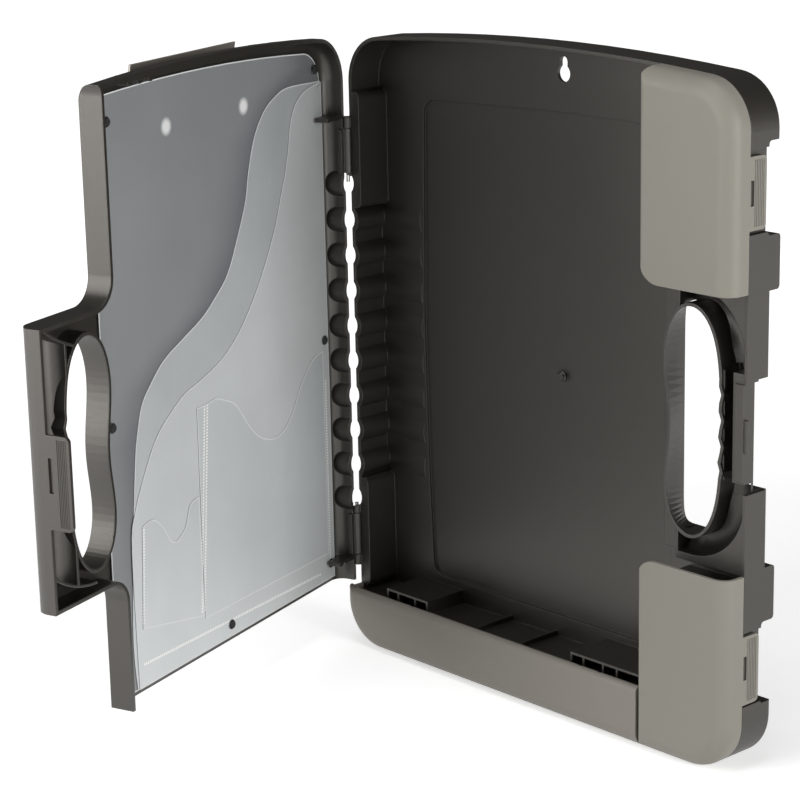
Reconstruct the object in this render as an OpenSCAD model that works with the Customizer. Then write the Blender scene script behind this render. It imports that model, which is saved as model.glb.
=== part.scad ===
// Storage clipboard box: a slim moulded case that opens like a book.
// The lid carries a paper clip outside and clear document pockets inside.
// Two corner doors and a bottom strip open from outside without the lid.
// Measured in mm. The origin is the centre of the hanging hole at the back face.

/* [Case] */
// width across the closed case, from the hinge side to the grip side
case_w = 308; // [280:1:340]
// height to the crown of the arched top
case_h = 382; // [340:1:460]
// depth of the closed case without the clip
case_d = 39.5; // [32:0.5:50]
// depth of the lid, doors and strip in front of the seam
lid_d = 15; // [13:0.5:18]
// moulded wall thickness
wall = 2.2; // [1.6:0.1:2.8]
// corner radius seen from the front
corner_r = 28; // [20:1:36]
// rounding along the front edges
front_r = 9.5; // [5:0.5:12]
// rounding along the back edges
back_r = 3.5; // [3:0.25:6]
// rise of the arched top from its ends to its crown
top_rise = 8; // [3:0.5:14]
// step of the raised back panel
panel_step = 1.8; // [1:0.1:2.4]

/* [Lid] */
// angle of the lid from closed in the stored pose
lid_open = 71.3; // [0:0.1:180]
// distance of the hinge axis outside the hinge side
hinge_out = 2.5; // [2:0.1:4]
// radius of the hinge barrels
barrel_r = 3.3; // [2.8:0.1:4]
// diameter of the lid hinge pins
hinge_pin_d = 2.4; // [2:0.1:3]
// pitch of the finger flutes along the spine
flute_pitch = 21.87; // [18:0.1:26]
// radius of each spine flute
flute_r = 7; // [5:0.25:9]

/* [Doors] */
// width of the two corner doors
door_w = 63; // [50:1:80]
// height of the lower corner door
lower_door_h = 112; // [90:1:130]
// height of the upper corner door, down from the crown
upper_door_h = 117; // [95:1:135]
// height of the bottom strip that closes the pen compartment
strip_h = 36; // [30:1:44]
// radius of the door corners that meet the lid
door_corner_r = 12; // [8:0.5:16]
// radius of the rolled hinge edge of doors and strip
bead_r = 3.2; // [3:0.1:4]
// diameter of the door and strip hinge pins
door_pin_d = 2.1; // [1.6:0.1:2.4]

/* [Grip] */
// height of the middle of the hand hole
grip_z = 190; // [170:1:210]
// half height of the hand hole
grip_half = 63; // [50:1:70]
// distance from the middle of the hand hole to the grip side
grip_in = 39; // [34:0.5:44]
// pitch of the finger waves
finger_pitch = 14.6; // [12:0.1:18]
// depth of the closed case behind the grip, where the back is stepped in
grip_d = 31.5; // [29:0.5:34]

/* [Clip] */
// width of the paper clip
clip_w = 104; // [80:1:130]
// distance from the hinge side to the middle of the clip
clip_x = 132; // [110:1:160]
// diameter of the clip's pivot pin
clip_pin_d = 2.5; // [2:0.1:3.5]

/* [Fits] */
// gap between the lid, doors and strip seen from the front
door_gap = 0.6; // [0.4:0.05:1]
// gap at the seam between the front parts and the base
seam_gap = 0.3; // [0.2:0.05:0.6]
// diametral clearance of every hinge pin in the part that turns
pin_clear = 0.1; // [0.06:0.02:0.2]
// gap between a latch tab and its catch
latch_gap = 0.4; // [0.3:0.05:0.8]
// gap between stacked plastic sheets
sheet_gap = 0.25; // [0.1:0.05:0.5]

/* [Hanging hole] */
// diameter of the round entry that takes a screw head
hang_d = 9.6; // [7:0.2:12]
// width of the narrow upper slot that takes the screw shank
hang_slot = 5.6; // [4:0.2:8]
// height of the entry centre
hang_z = 363.5; // [320:0.5:440]

/* [Hidden] */
$fn = 36;

charcoal = [0.215, 0.205, 0.19];
door_grey = [0.57, 0.56, 0.53];
strip_grey = [0.52, 0.5, 0.47];
steel = [0.72, 0.73, 0.74];
black = [0.07, 0.07, 0.07];

arch_r = (pow(case_w / 2, 2) + pow(top_rise, 2)) / (2 * top_rise);
arch_cz = case_h - arch_r;
arch_a = asin((case_w / 2 - corner_r) / (arch_r - corner_r));
side_top = arch_cz + (arch_r - corner_r) * cos(arch_a);
mid_x = case_w / 2;
front_d = lid_d - seam_gap;
door_x = case_w - door_w;
upper_z = case_h - upper_door_h;
lid_x = door_x - door_gap;
hx = -hinge_out;
hy = lid_d;
hinge_l = 26.4;
hinge_z1 = 53.4;
hinge_z2 = case_h - 88.5;
tongue_z1 = 51.5;
tongue_z2 = case_h - 54.6;
bead_x = door_x + bead_r;
bead_y = bead_r;
bead_x0 = front_r - 1;
tip_r = bead_r - 1.1;
window_r = bead_r - 0.75;
strip_ax_z = strip_h - bead_r;
grip_x = case_w - grip_in;
back_in = case_d - wall;
flute_z0 = grip_z - 99.8;
pen_shelf = strip_h - 4;
clip_axis_y = -5.2;
clip_axis_z = case_h - 33;
divider_x = bead_x + 2.6;
tab_t = 2.2;
hang_x = mid_x + 1.5;
step_x = grip_x - 28;
nub_x = mid_x - 1.5;
step_z0 = grip_z - 76.5;
step_z1 = grip_z + 74.5;
bend_z = 38;
channel_c = 27.2;
channel_r = 9.5;
scoop_x = case_w - 10;
scoop_y = case_d - 10;
upper_scoop = [upper_z + 29, upper_z + 78];
lower_scoop = [strip_h + 0.5, strip_h + 47];

// moves a piece so that the hanging hole is the origin
module place() {
    translate([-hang_x, -case_d, -hang_z]) children();
}

// turns a piece of the closed lid about the spine hinge
module lid_place() {
    place() translate([hx, hy, 0]) rotate([0, 0, -lid_open]) translate([-hx, -hy, 0]) children();
}

// section through a case edge: reach runs outwards, depth runs back
// deep pushes the back out past the case, for the inside that is cut off flat
module edge_section(reach, t, deep) {
    rf = front_r - t;
    rb = max(back_r - t, 0.8);
    y1 = case_d - t;
    $fn = 36;
    union() {
        if (deep > 0)
            polygon([[0, t], [reach - t - rf, t], [reach - t, t + rf],
                     [reach - t, y1 + deep], [0, y1 + deep]]);
        else
            polygon([[0, t], [reach - t - rf, t], [reach - t, t + rf], [reach - t, y1 - rb],
                [reach - t - rb, y1], [0, y1]]);
        translate([reach - t - rf, t + rf]) circle(rf);
        if (deep == 0)
            translate([reach - t - rb, y1 - rb]) circle(rb);
    }
}

module corner_turn(cx, cz, a0, sweep, t, deep) {
    translate([cx, 0, cz]) rotate([-90, 0, 0]) rotate([0, 0, a0])
        rotate_extrude(angle = sweep) edge_section(corner_r, t, deep);
}

// the closed case as a solid, drawn in by t on every side
module envelope(t, deep = 0) {
    w = case_w;
    r = corner_r;
    union() {
        translate([r - 6, t, r - 6]) cube([w - 2 * r + 12, case_d - 2 * t + deep, side_top - r + 14]);
        translate([r, 0, r]) linear_extrude(side_top - r) mirror([1, 0]) edge_section(r, t, deep);
        translate([w - r, 0, r]) linear_extrude(side_top - r) edge_section(r, t, deep);
        translate([r, 0, r]) rotate([0, 90, 0]) linear_extrude(w - 2 * r) edge_section(r, t, deep);
        corner_turn(r, r, 90, 90, t, deep);
        corner_turn(w - r, r, 0, 90, t, deep);
        translate([w, 0, 0]) mirror([1, 0, 0]) corner_turn(r, side_top, 180, 90 - arch_a, t, deep);
        corner_turn(r, side_top, 180, 90 - arch_a, t, deep);
        for (m = [0, 1])
            translate([mid_x, 0, arch_cz]) mirror([m, 0, 0]) rotate([-90, 0, 0])
                rotate([0, 0, -90 - arch_a])
                rotate_extrude(angle = arch_a, $fn = 400) translate([arch_r - 60, 0])
                    edge_section(60, t, deep);
    }
}

// raises a shape drawn in x and z from y0 to y1
module upright(y0, y1) {
    translate([0, y1, 0]) rotate([90, 0, 0]) linear_extrude(y1 - y0) children();
}

// door fronts drawn in x and z, grown by g
module upper_area(g) {
    r = door_corner_r + 2 + g;
    rt = 7 + g;
    x0 = door_x - g;
    z0 = upper_z - g;
    zt = arch_cz + sqrt(pow(arch_r, 2) - pow(case_w / 2 - door_w, 2)) + 1 + g;
    union() {
        translate([x0 + r, z0]) square([case_w, case_h]);
        translate([x0, z0 + r]) square([r + 1, zt - z0 - r - rt]);
        translate([x0 + rt, z0 + r]) square([r, case_h]);
        translate([x0 + r, z0 + r]) circle(r);
        translate([x0 + rt, zt - rt]) circle(rt);
    }
}

module lower_area(g) {
    r = door_corner_r + g;
    x0 = door_x - g;
    z1 = lower_door_h + g;
    union() {
        translate([x0 + r, -20]) square([case_w, z1 + 20]);
        translate([x0, -20]) square([r + 1, z1 + 20 - r]);
        translate([x0 + r, z1 - r]) circle(r);
    }
}

module lid_area(g, bottom) {
    difference() {
        translate([-20, bottom]) square([case_w + 40, case_h]);
        upper_area(g);
        lower_area(g);
    }
}

// outline of the hand hole, grown by g
function bulge(u) = sqrt(max(0, 1 - pow(abs(u), 3.4)));
function waist(z) = 6.5 * exp(-pow((z - grip_z + 4) / 30, 2));
function finger(z) = abs(z - grip_z) < 1.75 * finger_pitch
    ? 1.1 * cos(360 * (z - grip_z - 4) / finger_pitch) : 0;
function hand_hole(g) = concat(
    [for (i = [-21:21]) let (u = sin(90 * i / 21), z = grip_z + u * (grip_half + g))
        [grip_x + (20.5 + g) * bulge(u) + finger(z), z]],
    [for (i = [20:-1:-20]) let (u = sin(90 * i / 21), z = grip_z + u * (grip_half + g))
        [grip_x - (20.5 + g) * bulge(u) + waist(z) * bulge(u), z]]);

// outline of the hand hole at the back, where its inner edge is straight
function hand_hole_back(g) = concat(
    [for (i = [0:42]) hand_hole(g)[i]],
    [for (i = [20:-1:-20]) let (u = sin(90 * i / 21), z = grip_z + u * (grip_half + g))
        [grip_x - (18.2 + g) * pow(1 - pow(abs(u), 14), 1 / 8), z]]);

function ring_at(outline, y) = [for (p = outline) [p[0], y, p[1]]];

// body between the front and the back outline of the hand hole
module hole_loft(g, past) {
    front = hand_hole(g);
    back = hand_hole_back(g);
    n = len(front);
    points = concat(ring_at(front, lid_d - past), ring_at(front, lid_d + 0.4),
        ring_at(back, grip_d - 0.4), ring_at(back, grip_d + past));
    sides = [for (k = [0:2]) for (j = [0:n - 1]) for (half = [0, 1]) half == 0
        ? [k * n + j, k * n + (j + 1) % n, (k + 1) * n + (j + 1) % n]
        : [k * n + j, (k + 1) * n + (j + 1) % n, (k + 1) * n + j]];
    polyhedron(points, concat(sides, [[for (j = [n - 1:-1:0]) j]], [[for (j = [0:n - 1]) 3 * n + j]]));
}

module flutes(r) {
    for (k = [0:9])
        translate([2.3 - flute_r, -5, flute_z0 + k * flute_pitch]) rotate([-90, 0, 0])
            cylinder(h = case_d + 10, r = r);
}

module spine_barrel(z0, z1, r) {
    translate([hx, hy, z0]) cylinder(h = z1 - z0, r = r);
}

// finger of the base that carries a corner door hinge, seen from above
module door_finger(z) {
    translate([0, 0, z - 2.5]) {
        linear_extrude(5) polygon([[bead_x - 0.4, bead_y + 1.4], [bead_x + 1.4, bead_y - 0.4],
            [divider_x + 1.6, bead_y + 3.6], [divider_x + wall, bead_y + 5],
            [divider_x + wall, lid_d + 4], [divider_x, lid_d + 4], [divider_x, bead_y + 5.6]]);
        translate([bead_x, bead_y, 0]) cylinder(h = 5, r = tip_r);
    }
}

module door_pin_bore(z, clear) {
    translate([bead_x, bead_y, z - 7]) cylinder(h = 14, d = door_pin_d + clear);
}

// one rib of a strip hinge bracket, seen from the end
module strip_rib(x, arm) {
    translate([x, 0, 0]) rotate([90, 0, 90]) translate([0, 0, -0.7]) linear_extrude(1.4)
        polygon([[bead_y + 3.6, strip_ax_z - 5.4], [back_in + 0.5, pen_shelf - 2],
            [back_in + 0.5, strip_h + 4.6], [bead_y + 3.6, strip_h + 4.6]]);
    if (arm) {
        translate([x, 0, 0]) rotate([90, 0, 90]) translate([0, 0, -0.7]) linear_extrude(1.4)
            polygon([[bead_y - 0.6, strip_ax_z - 1.4], [bead_y + 3, strip_ax_z - 6.4],
                [bead_y + 6, strip_ax_z - 5.4], [bead_y + 6, strip_ax_z - 2],
                [bead_y + 3.6, strip_ax_z - 2], [bead_y + 1.2, strip_ax_z + 0.8]]);
        translate([x - 0.7, bead_y, strip_ax_z]) rotate([0, 90, 0]) cylinder(h = 1.4, r = tip_r);
    }
}

bracket_x = [33.5, 189];
rib_at = [0, 9.5, 24.5, 35];

module strip_bracket(x0, w) {
    translate([x0 - 0.7, bead_y + 3.6, strip_h + 3.2]) cube([w, back_in - bead_y - 3.2, 1.5]);
    for (i = [0:3])
        strip_rib(x0 + rib_at[i], i == 1 || i == 2);
}

// recess in the grip side for a latch tab
module tab_recess(z0, z1, depth, floor_x) {
    translate([floor_x, lid_d - 1, z0]) cube([20, depth + 2, z1 - z0]);
}

// finger channel round the outside of the hand hole
module grip_channel() {
    translate([0, 0, grip_z - bend_z - 0.3]) linear_extrude(2 * bend_z + 0.6)
        channel_section(grip_x + channel_c, channel_r);
    for (s = [0, 1])
        translate([grip_x, 0, grip_z + (s == 0 ? bend_z : -bend_z)]) rotate([-90, 0, 0])
            rotate([0, 0, s == 0 ? -90 : 0]) rotate_extrude(angle = 90)
                channel_section(channel_c, channel_r - 0.08);
    for (s = [-1, 1])
        translate([grip_x - 9, 0, grip_z + s * (bend_z + channel_c)]) rotate([90, 0, 90])
            linear_extrude(9.3)
            union() {
                translate([lid_d + 4.8, 0]) circle(channel_r - 0.16);
                translate([lid_d - 2, 0.16 - channel_r]) square([6.8, 2 * channel_r - 0.32]);
            }
}

module channel_section(c, r) {
    union() {
        translate([c, lid_d + 4.8]) circle(r);
        translate([c - r, lid_d - 2]) square([2 * r, 6.8]);
    }
}

// the channel is narrow behind the latch bar
module narrow_channel() {
    translate([0, 0, grip_z - 30]) linear_extrude(64) union() {
        translate([grip_x + 22.5, lid_d + 8.5]) circle(5.8);
        translate([grip_x + 22.5, lid_d - 2]) square([5.8, 10.5]);
    }
}

// profile of the grip side seen from that side: the scoops behind the tabs and the stepped grip
module side_profile() {
    translate([scoop_x, 0, 0]) rotate([90, 0, 90]) linear_extrude(20)
        offset(r = 2) offset(r = -4) offset(delta = 2) union() {
            translate([case_d, -30]) square([30, case_h + 60]);
            translate([scoop_y, lower_scoop[0]]) square([30, lower_scoop[1] - lower_scoop[0]]);
            translate([scoop_y, upper_scoop[0]]) square([30, upper_scoop[1] - upper_scoop[0]]);
            translate([grip_d, step_z0]) square([30, step_z1 - step_z0]);
        }
}

module base_tray() {
    color(charcoal) place() difference() {
        union() {
            difference() {
                intersection() {
                    envelope(0);
                    translate([-5, lid_d, -5]) cube([case_w + 10, case_d, case_h + 10]);
                }
                intersection() {
                    envelope(wall, 6);
                    translate([-5, lid_d - 5, -5]) cube([case_w + 10, back_in - lid_d + 5, case_h + 10]);
                }
            }
            // raised back panel
            upright(case_d - 0.5, case_d + panel_step) back_panel(1.2);
            // flute backs on the spine wall
            intersection() {
                envelope(0.1);
                flutes(flute_r + wall + 1);
                translate([-1, lid_d, grip_z - 85]) cube([30, case_d, 170]);
            }
            // soft ridges that run from the flutes across the back
            for (k = [1:8])
                intersection() {
                    translate([5, back_in + 21, flute_z0 + k * flute_pitch]) rotate([0, 90, 0])
                        cylinder(h = 32, r = 22);
                    translate([0, back_in - 3, 0]) cube([60, 4, case_h]);
                }
            // boxes round the spine hinge pins
            hinge_box(tongue_z2 - 55, tongue_z2 + 15);
            hinge_box(tongue_z1 - 17.5, tongue_z1 + 52.5);
            // grip block, latch bar and the stepped back round them
            intersection() {
                envelope(0);
                union() {
                    translate([grip_x - 10.7, lid_d + 1.5, step_z0 - wall])
                        cube([60, grip_d - lid_d - 1.5, step_z1 - step_z0 + 2 * wall]);
                    translate([case_w - 8.5, lid_d, grip_z - 26.3]) cube([20, 9, 52.8]);
                    translate([step_x - wall, grip_d - wall, step_z0 - wall])
                        cube([80, 20, step_z1 - step_z0 + 2 * wall]);
                }
            }
            hole_loft(1.9, 0);
            // walls of the two corner compartments
            translate([divider_x, lid_d, wall]) cube([wall, back_in - lid_d + 0.5, lower_door_h - 14]);
            translate([divider_x, lid_d, lower_door_h - 14])
                cube([case_w - divider_x - 1, back_in - lid_d + 0.5, wall]);
            intersection() {
                envelope(0.5);
                union() {
                    translate([divider_x, lid_d, upper_z + 10]) cube([wall, case_d, upper_door_h]);
                    translate([divider_x, lid_d, upper_z + 10]) cube([door_w, case_d, wall]);
                    // inner walls of the finger scoops
                    scoop_box(upper_scoop);
                    scoop_box(lower_scoop);
                }
            }
            // full corners between the scoops and the grip
            corner_block(step_z1, upper_scoop[0]);
            corner_block(lower_scoop[1], step_z0);
            door_finger(upper_z + 22);
            door_finger(upper_z + 90);
            door_finger(20);
            door_finger(lower_door_h - 22);
            // shelf over the pen compartment with its ribs and brackets
            translate([wall + 1, bead_y + 3.8, pen_shelf - wall])
                cube([divider_x - wall, back_in - bead_y - 3.3, wall]);
            translate([1, lid_d, pen_shelf - wall]) cube([divider_x, back_in - lid_d + 0.5, wall]);
            for (x = [110, 147])
                translate([x, bead_y + 6, pen_shelf - 1]) cube([1.6, back_in - bead_y - 5.5, 4]);
            strip_bracket(bracket_x[0], 36.4);
            strip_bracket(bracket_x[1], 52);
            // barrels of the spine hinge
            for (z = [hinge_z1 - 7, hinge_z1 + hinge_l + 0.4, hinge_z2 - 7, hinge_z2 + hinge_l + 0.4]) {
                spine_barrel(z, z + 6.6, barrel_r);
                translate([hx, hy + 0.1, z]) cube([6, 3.2, 6.6]);
            }
            // moulding nub in the middle of the back panel
            translate([nub_x, back_in - 1.4, grip_z]) rotate([-90, 0, 0])
                cylinder(h = 2, r1 = 2.2, r2 = 3.4);
        }
        // sunk back panel seen from inside
        upright(back_in - 0.1, back_in + panel_step) difference() {
            back_panel(0);
            translate([nub_x, grip_z]) circle(3.5);
        }
        flutes(flute_r);
        hole_loft(0, 8);
        // the grip channel keeps the wall round the hand hole
        difference() {
            union() {
                difference() {
                    grip_channel();
                    translate([case_w - 25, 0, grip_z - 28]) cube([40, 60, 60]);
                }
                narrow_channel();
            }
            upright(lid_d - 5, case_d + 5) polygon(hand_hole(1.9));
        }
        // back of the grip, stepped in
        translate([step_x, grip_d, step_z0]) cube([80, 20, step_z1 - step_z0]);
        side_profile();
        // room for a finger behind the lid's tab
        translate([0, 0, grip_z - 32.5]) linear_extrude(61) difference() {
            translate([grip_x + 22.5, lid_d + 9]) square([40, 30]);
            translate([grip_x + 22.5, lid_d + 8.5]) circle(8);
        }
        // recesses for the three latch tabs
        tab_recess(grip_z - 33, grip_z + 27.5, 14.7, case_w - tab_t - latch_gap);
        tab_recess(upper_z + 31, upper_z + 75, 13.7, case_w - tab_t - latch_gap);
        tab_recess(strip_h + 2, strip_h + 44, 13.7, case_w - tab_t - latch_gap);
        // hanging hole
        translate([hang_x, case_d - 8, hang_z]) rotate([-90, 0, 0]) cylinder(h = 16, d = hang_d);
        upright(case_d - 8, case_d + 8) {
            translate([hang_x, hang_z + hang_d * 0.7]) circle(d = hang_slot);
            translate([hang_x - hang_slot / 2, hang_z]) square([hang_slot, hang_d * 0.7]);
        }
        // pin bores and room for the lid's barrels
        for (z = [hinge_z1, hinge_z2]) {
            spine_barrel(z - 0.4, z + hinge_l + 0.4, barrel_r + 0.5);
            spine_barrel(z - 6, z + hinge_l + 8, (hinge_pin_d + 0.04) / 2);
        }
        for (z = [upper_z + 22, upper_z + 90, 20, lower_door_h - 22])
            door_pin_bore(z, 0.04);
        for (x0 = bracket_x)
            translate([x0 + rib_at[0] + 1.5, bead_y, strip_ax_z]) rotate([0, 90, 0])
                cylinder(h = rib_at[3], d = door_pin_d + 0.04);
    }
    // catches that stand in the slots of the tabs
    color(charcoal) place() {
        catch_ledge(grip_z - 10.5, grip_z + 7.5);
        catch_ledge(upper_z + 46.3, upper_z + 58.7);
        catch_ledge(strip_h + 17.7, strip_h + 30.3);
    }
}

module catch_ledge(z0, z1) {
    translate([case_w - 4, lid_d + 0.8, z0]) cube([3.4, 1.8, z1 - z0]);
}

// wall behind a tab recess and round the finger scoop
module scoop_box(span) {
    h = span[1] - span[0] + 2 * wall;
    translate([case_w - tab_t - latch_gap - wall, lid_d, span[0] - wall]) cube([9, case_d, h]);
    translate([scoop_x - wall, scoop_y - wall, span[0] - wall]) cube([20, case_d, h]);
}

module corner_block(z0, z1) {
    translate([scoop_x - wall, scoop_y - wall, z0 - 1])
        cube([10 + wall, case_d - scoop_y + wall, z1 - z0 + 2]);
}

module hinge_box(z0, z1) {
    intersection() {
        envelope(0);
        translate([0, lid_d, 0]) rotate([-90, 0, 0]) linear_extrude(case_d)
            mirror([0, 1]) union() {
                translate([-1, z0]) square([5.4, z1 - z0]);
                translate([-1, z0 + 4]) square([9.4, z1 - z0 - 8]);
                translate([4.4, z0 + 4]) circle(4);
                translate([4.4, z1 - 4]) circle(4);
            }
    }
}

// outline of the stepped panel of the back, grown by g
module back_panel(g) {
    x0 = 41 - g;
    x1 = grip_x - 32 + g;
    z0 = strip_h + 9 - g;
    z1 = case_h - 41 + g;
    offset(r = 9) offset(delta = -9)
        polygon([[x0, z1 - 2], [x0 - 3, grip_z + 15], [x0 - 1, grip_z - 80], [x0 + 2, z0],
            [x1, z0], [x1 - 2, grip_z], [x1, z1], [mid_x, z1 + 1]]);
}

// a latch tab: a springy plate with a slot and grip ribs on its outside
module latch_tab(z0, z1, reach, slot0, slot1, rib_pitch) {
    x = case_w - tab_t;
    difference() {
        union() {
            translate([x, front_d - 1, z0]) cube([tab_t, reach - 3, z1 - z0]);
            translate([x, front_d - 1, z0 + 3]) cube([tab_t, reach + 1, z1 - z0 - 6]);
            for (z = [z0 + 3, z1 - 3])
                translate([x, front_d + reach - 3, z]) rotate([0, 90, 0]) cylinder(h = tab_t, r = 3);
            for (i = [0:5])
                translate([case_w - 0.2, front_d + reach - 2.6 - rib_pitch * i, z0 + 2])
                    cube([0.6, 0.55, z1 - z0 - 4]);
        }
        translate([x - 1, lid_d + 0.8 - latch_gap, slot0])
            cube([tab_t + 2, 1.8 + 2 * latch_gap, slot1 - slot0]);
    }
}

// rolled hinge edge of a corner door with windows for the base's fingers
module door_windows(z) {
    translate([bead_x, bead_y, z - 3]) cylinder(h = 6, r = window_r);
    translate([bead_x, bead_y, z - 3]) cube([6, 8, 6]);
    translate([bead_x - 4, bead_y - 0.6, z - 3]) cube([8, 8, 6]);
}

module corner_door(z_low, z_high) {
    difference() {
        union() {
            difference() {
                intersection() {
                    envelope(0);
                    translate([-5, -5, -5]) cube([case_w + 10, 5 + front_d, case_h + 10]);
                    upright(-5, 20) children(0);
                }
                envelope(wall);
            }
            intersection() {
                translate([bead_x, bead_y, z_low]) cylinder(h = z_high - z_low, r = bead_r);
                envelope(0.02);
            }
            children(1);
        }
        // the face's own corner is rolled back to the hinge edge
        difference() {
            translate([door_x - 1, -1, -5]) cube([1 + bead_r, bead_r + 1, case_h]);
            translate([bead_x, bead_y, -6]) cylinder(h = case_h + 2, r = bead_r);
        }
        // eases the rim, which would touch the base as the door turns
        translate([0, 0, -5]) linear_extrude(case_h + 10) polygon([[door_x - 1, bead_y + 10.85],
            [bead_x - 1.2, front_d], [bead_x - 1.2, front_d + 2], [door_x - 1, front_d + 2]]);
        children(2);
    }
}

module upper_corner_door() {
    color(door_grey) place() corner_door(upper_z + door_corner_r + 2, case_h - 10) {
        upper_area(0);
        latch_tab(upper_z + 33, upper_z + 71.5, 13, upper_z + 45.9, upper_z + 59.1, 1.3);
        union() {
            for (z = [upper_z + 22, upper_z + 90]) {
                door_windows(z);
                door_pin_bore(z, pin_clear);
            }
        }
    }
}

module lower_corner_door() {
    color(door_grey) place() corner_door(0.6, lower_door_h - door_corner_r) {
        lower_area(0);
        latch_tab(strip_h + 3, strip_h + 42, 13, strip_h + 17.3, strip_h + 30.7, 1.3);
        union() {
            for (z = [20, lower_door_h - 22]) {
                door_windows(z);
                door_pin_bore(z, pin_clear);
            }
        }
    }
}

// one slot in the strip's rolled edge for an arm of the bracket
module strip_window(x) {
    translate([x - 1.2, bead_y, strip_ax_z]) rotate([0, 90, 0]) cylinder(h = 2.4, r = window_r);
    translate([x - 1.2, bead_y, strip_ax_z - 8]) cube([2.4, 8, 12]);
}

module pen_strip_door() {
    color(strip_grey) place() difference() {
        union() {
            intersection() {
                difference() {
                    envelope(0);
                    envelope(wall);
                }
                translate([-5, -5, -5]) cube([door_x - door_gap + 5, 5 + front_d, strip_h + 5]);
            }
            translate([bead_x0, bead_y, strip_ax_z]) rotate([0, 90, 0])
                cylinder(h = door_x - door_gap - bead_x0, r = bead_r);
        }
        difference() {
            translate([-5, -1, strip_ax_z]) cube([case_w, bead_r + 1, 10]);
            translate([-6, bead_y, strip_ax_z]) rotate([0, 90, 0]) cylinder(h = case_w + 2, r = bead_r);
        }
        translate([-5, bead_y * 2, strip_h - 1.6]) cube([case_w, 20, 5]);
        for (x0 = bracket_x) {
            for (i = [1, 2])
                strip_window(x0 + rib_at[i]);
            translate([x0 + 2, bead_y, strip_ax_z]) rotate([0, 90, 0])
                cylinder(h = rib_at[3] - 1, d = door_pin_d + pin_clear);
        }
    }
}

module lid_shell() {
    color(charcoal) lid_place() difference() {
        union() {
            difference() {
                intersection() {
                    envelope(0);
                    translate([-5, -5, -5]) cube([case_w + 10, 5 + front_d, case_h + 10]);
                    upright(-5, 20) lid_area(door_gap, strip_h + door_gap);
                }
                intersection() {
                    envelope(wall);
                    translate([-5, -5, -5]) cube([case_w + 10, 30, case_h + 10]);
                    upright(-5, 25) lid_area(door_gap + wall, -5);
                }
            }
            // flute backs on the spine flange
            intersection() {
                envelope(0.1);
                flutes(flute_r + wall + 1);
                translate([-1, 0.5, strip_h + 20]) cube([30, front_d - 0.5, grip_z + 68]);
            }
            // wall round the hand hole and the grip channel
            upright(0.5, front_d) difference() {
                polygon(hand_hole(1.9));
                polygon(hand_hole(0));
            }
            lid_channel();
            latch_tab(grip_z - 30.5, grip_z + 20, 14.2, grip_z - 10.9, grip_z + 7.9, 1.05);
            // barrels, arms and tongues of the spine hinge
            for (z = [hinge_z1, hinge_z2]) {
                spine_barrel(z, z + hinge_l, barrel_r);
                translate([hx, hy - barrel_r, z]) cube([6, barrel_r - 0.4, hinge_l]);
            }
            for (z = [tongue_z1, tongue_z2]) {
                translate([1, 6.4, z - 1.2]) cube([18.5, hy - 6.8, 2.4]);
                translate([1, 1, z - 1.2]) cube([7.4, hy - 2, 2.4]);
            }
            // three small stops under the top flange
            for (x = [197, 207, 216])
                translate([x, 4, case_h - 5]) rotate([-90, 0, 0]) cylinder(h = 9, r = 2.6);
            // bosses that the sheets are riveted to
            for (p = rivet_at)
                translate([p[0], 1, p[1]]) rotate([-90, 0, 0]) cylinder(h = 1.9, r = 3);
        }
        difference() {
            flutes(flute_r);
            translate([-1, -10, -5]) cube([20, 60, strip_h + 20]);
        }
        upright(-5, 30) polygon(hand_hole(0));
        // room for the base's barrels
        for (z = [hinge_z1, hinge_z2]) {
            spine_barrel(z - 7.4, z, barrel_r + 0.5);
            spine_barrel(z + hinge_l, z + hinge_l + 7.4, barrel_r + 0.5);
            spine_barrel(z - 7, z + hinge_l + 8, (hinge_pin_d + pin_clear) / 2);
        }
        for (p = rivet_at)
            translate([p[0], -5, p[1]]) rotate([-90, 0, 0]) cylinder(h = 20, d = 3.04);
        for (s = [-1, 1])
            translate([clip_x + s * 39, -5, clip_axis_z - 3]) rotate([-90, 0, 0])
                cylinder(h = 20, d = 4.04);
    }
}

rivet_at = [[16, 357], [14, 192.5], [14, 50], [236.5, 194], [128.7, 47.5], [228, 357]];

// thin half pipe of the grip in the lid, closed by a curved web at each end
module lid_web_line(x, z, r, t) {
    translate([grip_x + x, grip_z + z]) circle(r + t, $fn = 200);
}

module lid_channel() {
    difference() {
        intersection() {
            upright(1, front_d) union() {
                lid_web_line(-1, -4.8, 65.6, 0.7);
                translate([grip_x, grip_z - 30]) square([case_w - grip_x, 110]);
            }
            union() {
                translate([case_w - 11, front_d - 0.2, grip_z - 72]) cylinder(h = 146, r = 11);
                upright(1, front_d) intersection() {
                    translate([grip_x + 1.5, grip_z - 80])
                        square([case_w - grip_x - 2.5, upper_z - grip_z + 79]);
                    union() {
                        difference() {
                            translate([grip_x, grip_z - 80]) square([50, 30]);
                            lid_web_line(-1, -4.8, 65.6, -0.7);
                        }
                        lid_web_line(-20.9, 151.3, 96.4, 0.7);
                    }
                }
            }
            // follows the rounded front edge
            translate([0, 0, grip_z - 80]) linear_extrude(upper_z - grip_z + 79) union() {
                translate([grip_x, 1]) square([case_w - front_r - grip_x, front_d]);
                translate([grip_x, front_r]) square([case_w - grip_x - 1, front_d]);
                translate([case_w - front_r, front_r]) circle(front_r - 1);
            }
        }
        difference() {
            translate([case_w - 11, front_d - 0.2, grip_z - 80]) cylinder(h = 160, r = 9.2);
            upright(-5, 30) lid_web_line(-20.9, 151.3, 96.4, 0.7);
            upright(-5, 30) difference() {
                translate([grip_x, grip_z - 80]) square([50, 30]);
                lid_web_line(-1, -4.8, 65.6, -0.7);
            }
        }
        upright(-5, 30) lid_web_line(-20.9, 151.3, 96.4, -0.7);
    }
}

module lid_hinge_pins() {
    color(steel) place() for (z = [hinge_z1, hinge_z2])
        spine_barrel(z - 5.8, z + hinge_l + 6.4, hinge_pin_d / 2);
}

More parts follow.
